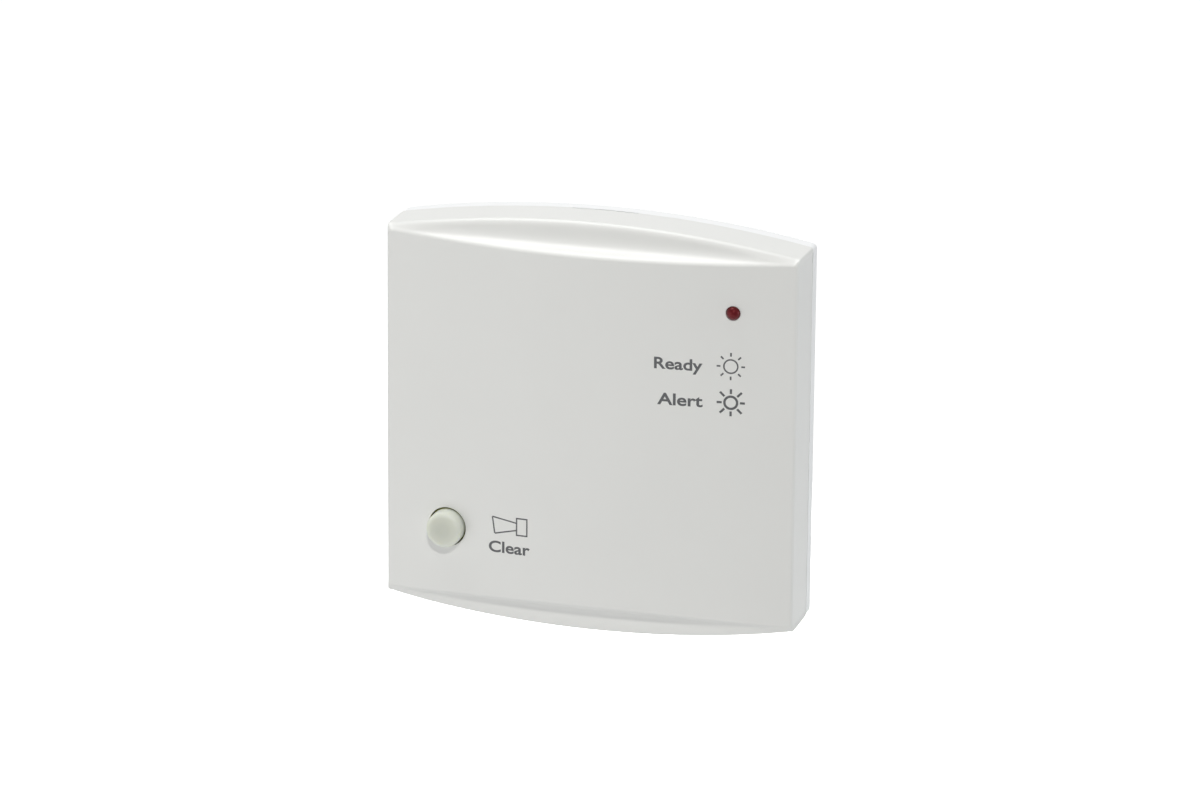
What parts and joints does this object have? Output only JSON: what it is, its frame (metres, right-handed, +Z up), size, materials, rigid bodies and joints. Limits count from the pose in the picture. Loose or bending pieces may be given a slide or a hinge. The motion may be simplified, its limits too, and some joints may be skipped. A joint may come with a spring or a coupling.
{
  "type": "water leak detector",
  "caption": "Slim square wall unit that warns of a water leak: bowed white face with scooped top and bottom, signal lamp, reset button, wired terminals and relay inside.",
  "frame": {"origin": "centre of the flat back, on the wall's surface", "axes": "+Z up the wall, +Y into the wall, so the face looks along -Y; +X to the right as seen from the front"},
  "size_m": [0.087, 0.0185, 0.0866],
  "materials": {
    "cover": "satin warm-white moulded plastic",
    "base": "satin white moulded plastic",
    "board": "green solder mask",
    "steel": "bright zinc plating",
    "lamp": "dark red clear resin",
    "spacer": "natural nylon",
    "tinned": "tin-plated copper",
    "button": "satin pale green-grey plastic",
    "black_plastic": "black moulded plastic",
    "contact": "brass",
    "relay": "dark blue moulded plastic",
    "terminal": "green moulded plastic",
    "can": "plain aluminium can",
    "chip": "black chip with tinned ends",
    "ceramic": "tan ceramic with tinned ends"
  },
  "bodies": {
    "unit": {"base_plate": "base", "board_screws": "steel", "bridge_rectifier": "black_plastic", "capacitor_bases": "black_plastic", "capacitor_cans": "can", "chip_capacitors": "ceramic", "chip_resistors": "chip", "circuit_board": "board", "controller_chip": "black_plastic", "controller_legs": "tinned", "driver_transistor": "black_plastic", "front_cover": "cover", "lamp_leads": "tinned", "lamp_lens": "lamp", "lamp_spacer": "spacer", "output_relay": "relay", "rectifier_legs": "tinned", "regulator_legs": "tinned", "relay_diode": "black_plastic", "relay_pins": "tinned", "relay_terminal_block": "terminal", "return_spring": "steel", "sensor_terminal_block": "terminal", "sounder_case": "black_plastic", "sounder_disc": "contact", "sounder_pins": "tinned", "sounder_plug": "black_plastic", "supply_terminal_block": "terminal", "switch_body": "black_plastic", "switch_contacts": "tinned", "switch_cover": "steel", "terminal_clamps": "tinned", "terminal_pins": "tinned", "terminal_screws": "steel", "transistor_legs": "tinned", "voltage_regulator": "black_plastic"},
    "reset_button": {"reset_cap": "button", "switch_plunger": "black_plastic", "contact_washer": "contact"}
  },
  "joints": [
    {"name": "reset_press", "type": "slide", "parent": "unit", "child": "reset_button", "axis": [0, 1, 0], "range_m": [0, 0.0008], "stiffness_N_per_m": 1500, "springref_m": -0.0006, "deforming": ["return_spring"]}
  ]
}
